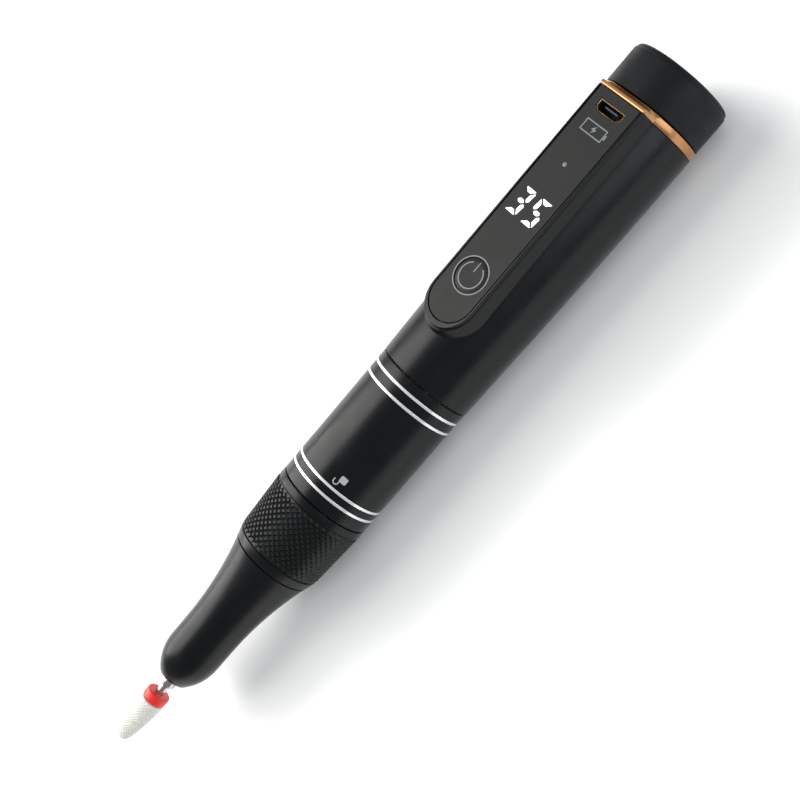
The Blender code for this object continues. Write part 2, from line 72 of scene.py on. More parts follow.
def middle_of(node):
    return (front_of(node) + rear_of(node)) / 2


def place(x, y, up):
    return Vector((x, y, up + AXIS_UP)) * MM


# ---------------------------------------------------------------- materials

class Surface:
    """A Principled material under construction, with short ways to wire its nodes."""

    def __init__(self, name, colour, roughness, metallic=0.0, **sockets):
        self.material = bpy.data.materials.new(name)
        self.material.use_nodes = True
        self.tree = self.material.node_tree
        self.shader = self.tree.nodes["Principled BSDF"]
        self.shader.inputs["Base Color"].default_value = (*colour, 1.0)
        self.shader.inputs["Roughness"].default_value = roughness
        self.shader.inputs["Metallic"].default_value = metallic
        for socket, value in sockets.items():
            self.shader.inputs[socket.replace("_", " ")].default_value = value
        self.bumps = []

    def node(self, kind, **inputs):
        made = self.tree.nodes.new(kind)
        for key, value in inputs.items():
            made.inputs[key.replace("_", " ")].default_value = value
        return made

    def link(self, output, socket):
        self.tree.links.new(output, socket)

    def position(self, stretch=(1.0, 1.0, 1.0)):
        """Object coordinates, stretched per axis."""
        coordinates = self.node("ShaderNodeTexCoord")
        mapping = self.node("ShaderNodeMapping", Scale=stretch)
        self.link(coordinates.outputs["Object"], mapping.inputs["Vector"])
        return mapping.outputs["Vector"]

    def noise(self, size, detail=3.0, roughness=0.5, stretch=(1.0, 1.0, 1.0)):
        """Noise whose grains are about size millimetres."""
        made = self.node("ShaderNodeTexNoise", Scale=1.0 / (size * MM), Detail=detail, Roughness=roughness)
        self.link(self.position(stretch), made.inputs["Vector"])
        return made.outputs["Fac"]

    def ramp(self, value, low, high, from_low=0.0, from_high=1.0):
        made = self.node("ShaderNodeMapRange", To_Min=low, To_Max=high, From_Min=from_low, From_Max=from_high)
        self.link(value, made.inputs["Value"])
        return made.outputs["Result"]

    def vary_roughness(self, value, low, high, from_low=0.3, from_high=0.7):
        self.link(self.ramp(value, low, high, from_low, from_high), self.shader.inputs["Roughness"])
        return self

    def vary_colour(self, value, first, second, from_low=0.3, from_high=0.7):
        mix = self.tree.nodes.new("ShaderNodeMix")
        mix.data_type = "RGBA"
        colours = [socket for socket in mix.inputs if socket.type == "RGBA"]
        colours[0].default_value = (*first, 1.0)
        colours[1].default_value = (*second, 1.0)
        self.link(self.ramp(value, 0.0, 1.0, from_low, from_high), mix.inputs["Factor"])
        result = [socket for socket in mix.outputs if socket.type == "RGBA"][0]
        self.link(result, self.shader.inputs["Base Color"])
        return self

    def bump(self, value, depth):
        """Adds a bump of the given depth in millimetres on top of the ones already there."""
        made = self.node("ShaderNodeBump", Strength=1.0, Distance=depth * MM)
        self.link(value, made.inputs["Height"])
        if self.bumps:
            self.link(self.bumps[-1].outputs["Normal"], made.inputs["Normal"])
        self.link(made.outputs["Normal"], self.shader.inputs["Normal"])
        self.bumps.append(made)
        return self


def anodised(name, colour, roughness):
    """Bead-blasted and anodised aluminium: satin, with a fine even grain and faint handling marks."""
    made = Surface(name, colour, roughness, Specular_IOR_Level=0.27)
    darker = tuple(c * 0.82 for c in colour)
    made.vary_colour(made.noise(9.0, 4.0), darker, colour)
    made.vary_roughness(made.noise(6.0, 5.0, 0.6), roughness * 0.86, roughness * 1.16)
    made.bump(made.noise(0.12, 2.0), 0.0016)
    return made.material


def turned_metal(name, colour, roughness, metallic=1.0):
    """Turned metal with fine rings round the pen's axis."""
    made = Surface(name, colour, roughness, metallic)
    rings = made.noise(0.25, 2.0, 0.5, (1.0, 0.02, 0.02))
    made.vary_roughness(rings, roughness * 0.8, roughness * 1.3)
    made.bump(rings, 0.002)
    return made.material


def moulded(name, colour, roughness, grain=0.25, depth=0.003, shine=0.5):
    """Moulded plastic with a fine spark-eroded grain."""
    made = Surface(name, colour, roughness, Specular_IOR_Level=shine)
    darker = tuple(c * 0.85 for c in colour)
    made.vary_colour(made.noise(4.0, 4.0), darker, colour)
    made.vary_roughness(made.noise(3.0, 4.0), roughness * 0.9, min(1.0, roughness * 1.12))
    made.bump(made.noise(grain, 3.0, 0.6), depth)
    return made.material


def rubber(name, colour):
    return moulded(name, colour, 0.78, 0.12, 0.006)


def woven_foam(name, colour):
    made = Surface(name, colour, 0.95)
    cells = made.node("ShaderNodeTexVoronoi", Scale=1.0 / (0.5 * MM))
    made.link(made.position(), cells.inputs["Vector"])
    made.bump(cells.outputs["Distance"], 0.15)
    # Painted shade: the hollows of the cells, where the bump is low, are darkened.
    made.vary_colour(cells.outputs["Distance"], tuple(c * 0.6 for c in colour), colour, 0.1, 0.6)
    return made.material


def fired_ceramic():
    made = Surface("fired_ceramic", (0.72, 0.715, 0.67), 0.42, Subsurface_Weight=0.12)
    made.shader.inputs["Subsurface Radius"].default_value = (0.0012, 0.0011, 0.001)
    made.vary_colour(made.noise(1.4, 4.0), (0.64, 0.635, 0.59), (0.73, 0.725, 0.68))
    made.vary_roughness(made.noise(0.5, 3.0), 0.34, 0.52)
    made.bump(made.noise(0.1, 3.0, 0.65), 0.008)
    return made.material


def copper_gold():
    made = Surface("polished_copper_gold", (0.51, 0.25, 0.10), 0.2, 0.62)
    rings = made.noise(0.18, 2.0, 0.5, (1.0, 0.03, 0.03))
    made.vary_roughness(made.noise(6.0, 2.0), 0.19, 0.24)
    made.vary_colour(made.noise(8.0, 2.0), (0.48, 0.23, 0.09), (0.51, 0.25, 0.10))
    made.bump(rings, 0.00005)
    return made.material


def glowing(name, colour, strength):
    made = Surface(name, (0.8, 0.82, 0.82), 0.4)
    made.shader.inputs["Emission Color"].default_value = (*colour, 1.0)
    made.shader.inputs["Emission Strength"].default_value = strength
    made.vary_roughness(made.noise(0.6, 3.0), 0.32, 0.5)
    return made.material


def panel_film():
    """The panel's matt film: fine mica specks in charcoal lacquer."""
    made = Surface("panel_film", (0.021, 0.022, 0.021), 0.5, Specular_IOR_Level=0.2)
    specks = made.node("ShaderNodeTexVoronoi", Scale=1.0 / (0.09 * MM))
    made.link(made.position(), specks.inputs["Vector"])
    made.vary_colour(specks.outputs["Distance"], (0.024, 0.025, 0.0235), (0.019, 0.020, 0.019), 0.0, 0.6)
    made.vary_roughness(made.noise(5.0, 4.0), 0.42, 0.52)
    made.bump(made.noise(0.1, 2.0), 0.0015)
    return made.material


def circuit_board():
    made = Surface("circuit_board", (0.01, 0.12, 0.05), 0.4)
    tracks = made.node("ShaderNodeTexBrick", Scale=1.0 / (3.0 * MM))
    made.link(made.position(), tracks.inputs["Vector"])
    made.vary_colour(tracks.outputs["Fac"], (0.01, 0.12, 0.05), (0.02, 0.2, 0.09), 0.0, 1.0)
    made.vary_roughness(made.noise(2.0), 0.35, 0.5)
    return made.material


def winding():
    made = Surface("copper_winding", (0.7, 0.3, 0.12), 0.35, 1.0)
    wires = made.noise(0.35, 1.0, 0.5, (0.02, 1.0, 1.0))
    # Painted shade: the low places between the turns of wire, where the bump is low, get the darker copper.
    made.vary_colour(wires, (0.55, 0.2, 0.07), (0.78, 0.36, 0.16))
    made.bump(wires, 0.1)
    return made.material


MATERIALS = {
    "satin_black": anodised("satin_black_anodise", (0.0038, 0.0042, 0.0052), 0.29),
    "knurled_black": anodised("knurled_black_anodise", (0.006, 0.0065, 0.007), 0.31),
    "soft_black": moulded("soft_black_plastic", (0.0045, 0.0052, 0.0064), 0.5, 0.14, 0.0022, 0.25),
    "panel_grey": panel_film(),
    "button_black": moulded("button_plastic", (0.020, 0.021, 0.020), 0.48, 0.1, 0.0015, 0.2),
    "display_glass": moulded("display_glass", (0.01, 0.01, 0.012), 0.12, 2.0, 0.0005),
    "lamp_lens": moulded("lamp_lens", (0.16, 0.165, 0.17), 0.3, 0.2, 0.001),
    "rose_gold": copper_gold(),
    "bright_ring": turned_metal("bright_ring_metal", (0.90, 0.90, 0.93), 0.24, 0.55),
    "seal_rubber": rubber("seal_rubber", (0.02, 0.02, 0.02)),
    "frame_metal": turned_metal("frame_aluminium", (0.55, 0.55, 0.57), 0.38),
    "bearing_steel": turned_metal("bearing_steel", (0.7, 0.7, 0.72), 0.18),
    "steel": turned_metal("turned_steel", (0.60, 0.60, 0.61), 0.24),
    "spring_steel": turned_metal("spring_steel", (0.58, 0.58, 0.6), 0.3),
    "cage_brass": turned_metal("cage_brass", (0.72, 0.52, 0.25), 0.3),
    "socket_metal": turned_metal("gold_plate", (0.80, 0.50, 0.22), 0.3),
    "coupling_plastic": moulded("coupling_plastic", (0.75, 0.74, 0.7), 0.5),
    "white_plastic": moulded("white_plastic", (0.7, 0.7, 0.68), 0.5),
    "ceramic": fired_ceramic(),
    "red_plastic": moulded("red_plastic", (0.80, 0.030, 0.020), 0.33, 0.2, 0.0015),
    "magnet": moulded("sintered_magnet", (0.09, 0.09, 0.1), 0.55, 0.2, 0.004),
    "copper_winding": winding(),
    "red_insulation": moulded("red_insulation", (0.6, 0.02, 0.02), 0.5),
    "black_insulation": moulded("black_insulation", (0.02, 0.02, 0.02), 0.5),
    "cell_wrap": moulded("cell_wrap", (0.05, 0.18, 0.42), 0.35, 0.5, 0.002),
    "grey_foam": woven_foam("grey_foam", (0.2, 0.2, 0.2)),
    "board_green": circuit_board(),
    "switch_black": moulded("switch_black", (0.03, 0.03, 0.03), 0.5),
    "sensor_blue": moulded("sensor_blue", (0.05, 0.12, 0.3), 0.4),
}
PRINT = moulded("pale_print", (0.42, 0.43, 0.43), 0.5, 0.08, 0.001)
TONGUE = moulded("tongue_plastic", (0.05, 0.05, 0.055), 0.4, 0.08, 0.001)
SYMBOL = moulded("symbol_print", (0.19, 0.205, 0.20), 0.45, 0.08, 0.001)
DIGIT_LIGHT = glowing("digit_light", (0.97, 1.0, 1.0), 0.85)
# Painted shade: a near-black sheet that darkens the inside of the socket's mouth.
PAINTED_SHADE_LINER = moulded("painted_shade_liner", (0.006, 0.006, 0.007), 0.6)


# ---------------------------------------------------------------- building pieces

def finish_piece(name, shape, body, slot, replaced=(), surface=None, smooth=32.0):
    """Turns a bmesh into a piece that rides on a body, smooth except across sharp edges."""
    bmesh.ops.remove_doubles(shape, verts=shape.verts, dist=0.0005 * MM)
    bmesh.ops.recalc_face_normals(shape, faces=shape.faces)
    mesh = bpy.data.meshes.new(name)
    shape.to_mesh(mesh)
    shape.free()
    mesh.shade_smooth()
    mesh.set_sharp_from_angle(angle=math.radians(smooth))
    made = bpy.data.objects.new(name, mesh)
    bpy.context.scene.collection.objects.link(made)
    mesh.materials.append(surface or MATERIALS[slot])
    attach(made, body)
    if replaced:
        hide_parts(*replaced)
    return made


def eased(points, steps=6):
    """A profile with its corners rounded. A point's third number is how far its rounding reaches."""
    made = []
    count = len(points)
    for i, point in enumerate(points):
        reach = point[2] if len(point) > 2 else 0.0
        here = Vector(point[:2])
        if reach == 0.0:
            made.append(here)
            continue
        start = here + (Vector(points[i - 1][:2]) - here).normalized() * reach
        end = here + (Vector(points[(i + 1) % count][:2]) - here).normalized() * reach
        for step in range(steps + 1):
            share = step / steps
            made.append(start * (1 - share) ** 2 + here * 2 * share * (1 - share) + end * share**2)
    return made


def turn(shape, profile, segments=ROUND, closed=True):
    """Turns a profile of (station, radius) points about the pen's axis."""
    rings = []
    for x, radius in profile:
        if radius <= 0.0:
            rings.append([shape.verts.new(place(x, 0.0, 0.0))])
            continue
        ring = []
        for step in range(segments):
            angle = 2 * math.pi * step / segments
            ring.append(shape.verts.new(place(x, radius * math.sin(angle), radius * math.cos(angle))))
        rings.append(ring)
    pairs = list(zip(rings, rings[1:]))
    if closed:
        pairs.append((rings[-1], rings[0]))
    for first, second in pairs:
        skin(shape, first, second)


def skin(shape, first, second):
    """Faces between two closed rings of points, either of which may be a single point."""
    count = max(len(first), len(second))
    if len(first) == len(second) == 1:
        return
    for i in range(count):
        j = (i + 1) % count
        corners = []
        for ring, at in ((first, i), (first, j), (second, j), (second, i)):
            corner = ring[at] if len(ring) > 1 else ring[0]
            if corner not in corners:
                corners.append(corner)
        shape.faces.new(corners)


def lathe(name, profile, body, slot, replaced=(), segments=ROUND, surface=None, closed=True):
    shape = bmesh.new()
    turn(shape, eased(profile), segments, closed)
    return finish_piece(name, shape, body, slot, replaced, surface)


def stack(shape, outlines, cap=True):
    """A solid through closed outlines of points, first to last, with flat ends."""
    rings = [[shape.verts.new(point) for point in outline] for outline in outlines]
    for first, second in zip(rings, rings[1:]):
        skin(shape, first, second)
    if cap:
        shape.faces.new(rings[0])
        shape.faces.new(rings[-1])


def stacked_piece(name, outlines, body, slot, replaced=(), surface=None, smooth=32.0):
    shape = bmesh.new()
    stack(shape, outlines)
    return finish_piece(name, shape, body, slot, replaced, surface, smooth)


def solid_of(name, shape):
    """A helper solid for Boolean work, taken out again by carve."""
    bmesh.ops.recalc_face_normals(shape, faces=shape.faces)
    mesh = bpy.data.meshes.new(name)
    shape.to_mesh(mesh)
    shape.free()
    made = bpy.data.objects.new(name, mesh)
    bpy.context.scene.collection.objects.link(made)
    return made


def stacked_solid(name, outlines):
    shape = bmesh.new()
    stack(shape, outlines)
    return solid_of(name, shape)


def carve(target, steps):
    """Applies (operation, helper) steps to a piece and removes the helpers."""
    for operation, helper in steps:
        change = target.modifiers.new(helper.name, "BOOLEAN")
        change.operation = operation
        change.solver = "EXACT"
        change.object = helper
    bpy.context.view_layer.update()
    graph = bpy.context.evaluated_depsgraph_get()
    mesh = bpy.data.meshes.new_from_object(target.evaluated_get(graph))
    target.modifiers.clear()
    target.data = mesh
    for operation, helper in steps:
        bpy.data.objects.remove(helper, do_unlink=True)


def resurface(target, surface, smooth=32.0):
    """Gives a carved piece one material and its smooth and sharp edges."""
    mesh = target.data
    mesh.materials.clear()
    mesh.materials.append(surface)
    for face in mesh.polygons:
        face.material_index = 0
    mesh.shade_smooth()
    mesh.set_sharp_from_angle(angle=math.radians(smooth))


def toothed_band(shape, radius_at, front, rear, around, rows, depth, crest, twist=0.0):
    """Diamond teeth cut by two sets of crossing grooves into a turned surface.

    Lattice points with an odd sum of indices are the groove crossings, and those with an even sum
    are the middles of the teeth, whose flat tops take up the share crest of each diamond.
    Returns the points at both ends.
    """
    def at(i, j, lift=0.0):
        x = front + (rear - front) * j / rows
        angle = math.pi * i / around + twist * (x - front)
        radius = radius_at(x) - depth * (1 - lift)
        return place(x, radius * math.sin(angle), radius * math.cos(angle))

    low = {}
    for j in range(rows + 1):
        for i in range(2 * around):
            if (i + j) % 2:
                low[i, j] = shape.verts.new(at(i, j))
    for j in range(rows + 1):
        for i in range(2 * around):
            if (i + j) % 2:
                continue
            sides = [(i - 1, j), (i, j - 1), (i + 1, j), (i, j + 1)]
            inside = [side for side in sides if 0 <= side[1] <= rows]
            base = [low[a % (2 * around), b] for a, b in inside]
            if len(inside) < 4:
                shape.faces.new(base)
                continue
            tops = []
            for a, b in inside:
                tops.append(shape.verts.new(at(i + (a - i) * crest, j + (b - j) * crest, 1.0)))
            shape.faces.new(tops)
            for k in range(4):
                m = (k + 1) % 4
                shape.faces.new((base[k], base[m], tops[m], tops[k]))
    ends = []
    for j in (0, rows):
        ends.append([low[i, j] for i in range(2 * around) if (i + j) % 2])
    return ends


def ring_beside(shape, ring, x, radius):
    """New points at a station and radius, each at the angle of a point of the given ring."""
    made = []
    for point in ring:
        across, up = point.co.y / MM, point.co.z / MM - AXIS_UP
        scale = radius / math.hypot(across, up)
        made.append(shape.verts.new(place(x, across * scale, up * scale)))
    return made


def close_fan(shape, ring, x):
    """Closes a ring of points with a fan to a point on the axis."""
    middle = shape.verts.new(place(x, 0.0, 0.0))
    for first, second in zip(ring, ring[1:] + ring[:1]):
        shape.faces.new((first, second, middle))


# ---------------------------------------------------------------- prints, on the panel and on round shells

PRINT_HEIGHT = 0.015
PRINT_SINK = 0.03


def flat_map(top):
    """Maps drawing points to the panel: right on the drawing is -Y, and up is +X."""
    return lambda right, up, height: place(up, -right, top + height)


def round_map(radius, turn_from_top):
    """Maps drawing points to a round shell: up on the drawing runs along +X."""
    def mapped(right, up, height):
        angle = turn_from_top + right / radius
        reach = radius + height
        return place(up, -reach * math.sin(angle), reach * math.cos(angle))
    return mapped


def print_strip(shape, mapped, left, right, loop=False):
    """A thin printed strip between two lines of drawing points. A loop has no ends."""
    top = [[shape.verts.new(mapped(*point, PRINT_HEIGHT)) for point in line] for line in (left, right)]
    low = [[shape.verts.new(mapped(*point, -PRINT_SINK)) for point in line] for line in (left, right)]
    spans = len(left) if loop else len(left) - 1
    for k in range(spans):
        m = (k + 1) % len(left)
        shape.faces.new((top[0][k], top[1][k], top[1][m], top[0][m]))
        shape.faces.new((low[0][k], low[0][m], low[1][m], low[1][k]))
        for side in (0, 1):
            shape.faces.new((top[side][k], top[side][m], low[side][m], low[side][k]))
    ends = () if loop else (0, -1)
    for k in ends:
        shape.faces.new((top[0][k], top[1][k], low[1][k], low[0][k]))


def print_patch(shape, mapped, outline):
    """A printed patch inside a closed outline of drawing points."""
    stack(shape, [[mapped(*point, height) for point in outline] for height in (-PRINT_SINK, PRINT_HEIGHT)])


def print_line(shape, mapped, points, width):
    """A printed line of even width along drawing points."""
    left, right = [], []
    for k, point in enumerate(points):
        before = Vector(points[max(k - 1, 0)])
        after = Vector(points[min(k + 1, len(points) - 1)])
        along = (after - before).normalized()
        across = Vector((-along.y, along.x)) * width / 2
        left.append(tuple(Vector(point) + across))
        right.append(tuple(Vector(point) - across))
    print_strip(shape, mapped, left, right)


def arc(middle, radius, start, end, steps=32):
    """Drawing points on an arc, with its angles in degrees from the drawing's right."""
    points = []
    for step in range(steps + 1):
        angle = math.radians(start + (end - start) * step / steps)
        points.append((middle[0] + radius * math.cos(angle), middle[1] + radius * math.sin(angle)))
    return points


def print_ring(shape, mapped, middle, radius, width):
    left, right = [arc(middle, radius + side, 0, 360, 96)[:-1] for side in (width / 2, -width / 2)]
    print_strip(shape, mapped, left, right, loop=True)


# ---------------------------------------------------------------- nose and grip

NOSE_MOUTH = 3.15
NOSE_LIP = 0.25
NOSE_TIP_RADIUS = 3.9
NOSE_BLUNTNESS = 2.3
NOSE_WAIST = -73.2
NOSE_FLARE = -68.0
NOSE_WAIST_RADIUS = 7.18
SEAL_SEAT = 4.5
SEAL_SEAT_REAR = -76.3
SPINDLE_BORE = 5.8
SPINDLE_BORE_REAR = -53.5
JOINT_BORE = 7.3
CHAMFER = 0.1


def nose_radius(x):
    """Blunt tip up to the waist, a straight neck, then a parabola that flares to the grip."""
    tip, rear = front_of("nose_cone"), rear_of("nose_cone")
    if x < NOSE_WAIST:
        share = (NOSE_WAIST - x) / (NOSE_WAIST - tip)
        return NOSE_WAIST_RADIUS - (NOSE_WAIST_RADIUS - NOSE_TIP_RADIUS) * share**NOSE_BLUNTNESS
    if x < NOSE_FLARE:
        return NOSE_WAIST_RADIUS
    share = (x - NOSE_FLARE) / (rear - NOSE_FLARE)
    return NOSE_WAIST_RADIUS + (half_width("nose_cone") - NOSE_WAIST_RADIUS) * share**2


def build_nose():
    tip, rear = front_of("nose_cone"), rear_of("nose_cone")
    profile = [(rear, nose_radius(rear) - CHAMFER), (rear - CHAMFER, nose_radius(rear))]
    first, last = rear - 0.12, tip + NOSE_LIP
    steps = 48
    for step in range(1, steps + 1):
        x = first + (last - first) * step / steps
        profile.append((x, nose_radius(x)))
    profile += [(tip, NOSE_TIP_RADIUS - 0.3, 0.2), (tip, NOSE_MOUTH + NOSE_LIP)]
    profile += [(tip + NOSE_LIP, NOSE_MOUTH, 0.1)]
    profile += [(tip + 1.6, NOSE_MOUTH, 0.1), (tip + 1.6, SEAL_SEAT), (SEAL_SEAT_REAR, SEAL_SEAT)]
    profile += [(SEAL_SEAT_REAR, SPINDLE_BORE), (SPINDLE_BORE_REAR, SPINDLE_BORE)]
    profile += [(SPINDLE_BORE_REAR, JOINT_BORE), (rear, JOINT_BORE)]
    lathe("nose_shell", profile, "housing", "satin_black", ["nose_cone"])


KNURL_FRONT = -40.0
KNURL_REAR = -25.0
KNURL_FRONT_RADIUS = 11.47
KNURL_AROUND = 42
KNURL_ROWS = 17
KNURL_DEPTH = 0.3
KNURL_CREST = 0.42
GRIP_FRONT_RADIUS = 10.7
GRIP_BORE = 9.9
GRIP_BORE_FRONT = -41.0


def build_grip():
    """Two smooth collars with the knurled band between them, on a floor below its grooves."""
    front, rear = front_of("grip_sleeve"), rear_of("grip_sleeve")
    full = half_width("grip_sleeve")
    climb = full - KNURL_FRONT_RADIUS

    def knurl_radius(x):
        return KNURL_FRONT_RADIUS + climb * (x - KNURL_FRONT) / (KNURL_REAR - KNURL_FRONT)

    floor = KNURL_DEPTH + 0.2
    profile = [(rear, full - 0.12, 0.1), (KNURL_REAR + 0.35, full, 0.12), (KNURL_REAR + 0.1, full - floor)]
    profile += [(KNURL_FRONT - 0.1, KNURL_FRONT_RADIUS - floor)]
    profile += [(KNURL_FRONT - 0.3, KNURL_FRONT_RADIUS - 0.12, 0.12)]
    profile += [(front, GRIP_FRONT_RADIUS, 0.15), (front, JOINT_BORE), (GRIP_BORE_FRONT, JOINT_BORE)]
    profile += [(GRIP_BORE_FRONT, GRIP_BORE), (rear, GRIP_BORE)]
    lathe("grip_collars", profile, "housing", "knurled_black", ["grip_sleeve"],
          surface=MATERIALS["satin_black"])

    shape = bmesh.new()
    ends = toothed_band(shape, knurl_radius, KNURL_FRONT, KNURL_REAR, KNURL_AROUND, KNURL_ROWS,
                        KNURL_DEPTH, KNURL_CREST)
    rings = []
    for ring, x in zip(ends, (KNURL_FRONT, KNURL_REAR)):
        inner = ring_beside(shape, ring, x, knurl_radius(x) - floor - 0.1)
        skin(shape, ring, inner)
        rings.append(inner)
    skin(shape, *rings)
    finish_piece("grip_knurl", shape, "housing", "knurled_black", smooth=12.0)


# ---------------------------------------------------------------- lock sleeve and its rings

SEAM_CLOSING = 0.06
LOCK_BORE = 10.8
RING_GAP = 0.06
RING_PROUD = 0.03
RING_DEPTH = 0.4
RING_GROOVE = 0.45
LOCK_SIGN_TURN = math.radians(32.0)
LOCK_SIGN_OFFSET = 2.2


def build_lock():
    """The sleeve with four grooves, and a bright ring in each."""
    front, rear = front_of("lock_sleeve"), rear_of("lock_sleeve") + SEAM_CLOSING
    radius = half_width("lock_sleeve")
    profile = [(rear, radius - 0.16), (rear - 0.14, radius, 0.05)]
    for number in range(1, 5):
        ring_front, ring_rear = front_of(f"lock_ring_{number}"), rear_of(f"lock_ring_{number}")
        profile += [(ring_rear + RING_GAP, radius), (ring_rear + RING_GAP, radius - RING_GROOVE)]
        profile += [(ring_front - RING_GAP, radius - RING_GROOVE), (ring_front - RING_GAP, radius)]
        band = [(ring_rear, radius + RING_PROUD, 0.12), (ring_front, radius + RING_PROUD, 0.12)]
        band += [(ring_front, radius - RING_DEPTH), (ring_rear, radius - RING_DEPTH)]
        lathe(f"silver_ring_{number}", band, "lock", "bright_ring", [f"lock_ring_{number}"])
    profile += [(front + CHAMFER, radius, 0.05), (front, radius - CHAMFER)]
    profile += [(front, LOCK_BORE), (rear, LOCK_BORE)]
    lathe("lock_sleeve_shell", profile, "lock", "satin_black", ["lock_sleeve"])


def build_lock_symbol():
    """An open padlock, the usual sign for release, behind the front pair of rings.

    Its top is towards the nose. Its body is printed in columns that follow the round sleeve.
    """
    mapped = round_map(half_width("lock_sleeve"), LOCK_SIGN_TURN)
    right, up = 0.5, rear_of("lock_ring_3") + LOCK_SIGN_OFFSET + 0.6
    wide, high, columns = 0.92, 0.85, 6
    shape = bmesh.new()
    for column in range(columns):
        sides = [wide * (2 * (column + side) / columns - 1) + right for side in (0, 1)]
        ends = [high - 0.15 * (column + side in (0, columns)) for side in (0, 1)]
        first, second = [[(x, up - y), (x, up + y)] for x, y in zip(sides, ends)]
        print_strip(shape, mapped, first, second)
    top = up - high
    foot, crown, hook_middle, hook_radius = top + 0.2, top - 0.45, -0.8, 0.65
    hook = [(hook_middle + hook_radius, foot), (hook_middle + hook_radius, crown)]
    hook += arc((hook_middle, crown), hook_radius, 0, -180, 16)[1:]
    hook.append((hook_middle - hook_radius, foot))
    print_line(shape, mapped, hook, 0.27)
    finish_piece("lock_symbol", shape, "lock", "satin_black", surface=PRINT)


# ---------------------------------------------------------------- rear casing with its pod

POD_ROUND_X = 34.86
POD_LEVELS = (
    # half width, reach of the round front, height
    (8.38, 11.70, 8.00),
    (7.02, 8.42, 13.35),
    (6.90, 8.18, 13.62),
    (6.80, 7.86, 13.74),
    (6.83, 7.80, 14.36),
    (6.78, 7.74, 14.50),
    (6.66, 7.62, 14.58),
)
PANEL_HALF = 6.03
PANEL_TOP = 14.5
GROOVE = 0.3
RECESS_FLOOR = 13.0
CASING_OUTSIDE = (
    # station, radius
    (78.0, 13.05),
    (68.0, 13.02),
    (58.0, 12.97),
    (49.0, 12.88),
    (38.0, 12.68),
    (28.0, 12.45),
    (23.0, 12.35),
)
BORE_FRONT, BORE_MIDDLE, BORE_REAR_RADIUS = (20.0, 11.1), (49.0, 11.5), 11.6
CHANNEL_FRONT, CHANNEL_HALF = 31.0, 5.4


def pod_outline(half, reach, rear, up, steps=72):
    """A pod level: straight sides closed by half an ellipse at the front."""
    points = [place(rear, half, up)]
    for step in range(steps + 1):
        angle = math.pi / 2 + math.pi * step / steps
        points.append(place(POD_ROUND_X + reach * math.cos(angle), half * math.sin(angle), up))
    points.append(place(rear, -half, up))
    return points


def casing_profile():
    front, rear = front_of("rear_housing"), rear_of("rear_housing")
    outside = [(rear, 12.97), (rear - 0.08, 13.05), *CASING_OUTSIDE, (front + 0.14, 12.2), (front, 12.04)]
    inside = [(front, LOCK_BORE), (19.4, LOCK_BORE), BORE_FRONT, BORE_MIDDLE, (rear, BORE_REAR_RADIUS)]
    return outside + inside


def build_casing():
    """The round casing with its pod, hollowed for the works and recessed for the panel."""
    rear = rear_of("rear_housing")
    casing = lathe("casing_shell", casing_profile(), "housing", "satin_black", ["rear_housing"])
    pod = stacked_solid("pod", [pod_outline(half, reach, rear, up) for half, reach, up in POD_LEVELS])
    shape = bmesh.new()
    end, start = rear + 1, 18.0
    profile = [(end, 0.0), (end, BORE_REAR_RADIUS), BORE_MIDDLE, BORE_FRONT]
    profile += [(start, BORE_FRONT[1]), (start, 0.0)]
    turn(shape, profile, 96, False)
    bore = solid_of("bore", shape)
    recess = PANEL_HALF + GROOVE
    levels = (RECESS_FLOOR, PANEL_TOP - 0.06, 16.0)
    hollow = stacked_solid("hollow", [pod_outline(recess, recess, end, up) for up in levels])
    slot = [(CHANNEL_FRONT, -CHANNEL_HALF), (end, -CHANNEL_HALF)]
    slot += [(end, CHANNEL_HALF), (CHANNEL_FRONT, CHANNEL_HALF)]
    channel = stacked_solid("channel", [[place(x, y, up) for x, y in slot] for up in (4.0, 13.2)])
    carve(casing, [("UNION", pod), ("DIFFERENCE", bore), ("DIFFERENCE", channel), ("DIFFERENCE", hollow)])
    resurface(casing, MATERIALS["satin_black"], 24.0)


SHOULDER_REACH = 1.1
TRIM_BORE = 10.6
EAR_FOOT_HALF = 7.82
EAR_SIDE = (
    # half width, height, and how far its rounding reaches
    (7.0, 13.35),
    (6.9, 14.3, 0.1),
    (6.86, 14.58, 0.18),
)


def build_trim():
    """The copper ring that closes casing and pod. Over the pod it slopes down to the knob."""
    front, rear = front_of("trim_ring"), rear_of("trim_ring")
    radius = half_width("trim_ring") - 0.02
    crease = math.asin(EAR_FOOT_HALF / radius)
    outline = []
    steps = 120
    for step in range(steps + 1):
        angle = crease + (2 * math.pi - 2 * crease) * step / steps
        outline.append((radius * math.sin(angle), radius * math.cos(angle)))
    left = [(-half, *rest) for half, *rest in EAR_SIDE]
    ear = eased([outline[-1], *left, *reversed(EAR_SIDE), outline[0]], 4)
    ring = [Vector(point) for point in outline] + ear[1:-1]

    def section(x, shrink=0.0, limit=math.inf):
        """The ring at a station, cut down to the limit and drawn in by shrink."""
        return [place(x, *(point * ((min(point.length, limit) - shrink) / point.length))) for point in ring]

    shoulder = rear - SHOULDER_REACH
    sections = [section(front, 0.16), section(front + 0.05, 0.05), section(front + 0.16)]
    sections += [section(shoulder - 0.06), section(shoulder, 0.04)]
    sections += [section(rear - 0.16, 0.0, radius), section(rear - 0.05, 0.05, radius)]
    sections.append(section(rear, 0.16, radius))
    inner = [point * (TRIM_BORE / point.length) for point in ring]
    sections += [[place(x, *point) for point in inner] for x in (rear, front)]
    shape = bmesh.new()
    stack(shape, sections + [sections[0]], cap=False)
    finish_piece("copper_ring", shape, "housing", "rose_gold", ["trim_ring"])


# ---------------------------------------------------------------- control panel

BUTTON_HOLE = 4.36
BUTTON_ROUND = 128
SOCKET_WIDE, SOCKET_DEEP, SOCKET_BEVEL = 3.72, 1.32, 0.95
LAMP_HOLE = 0.62
SIGN_LINE = 0.27


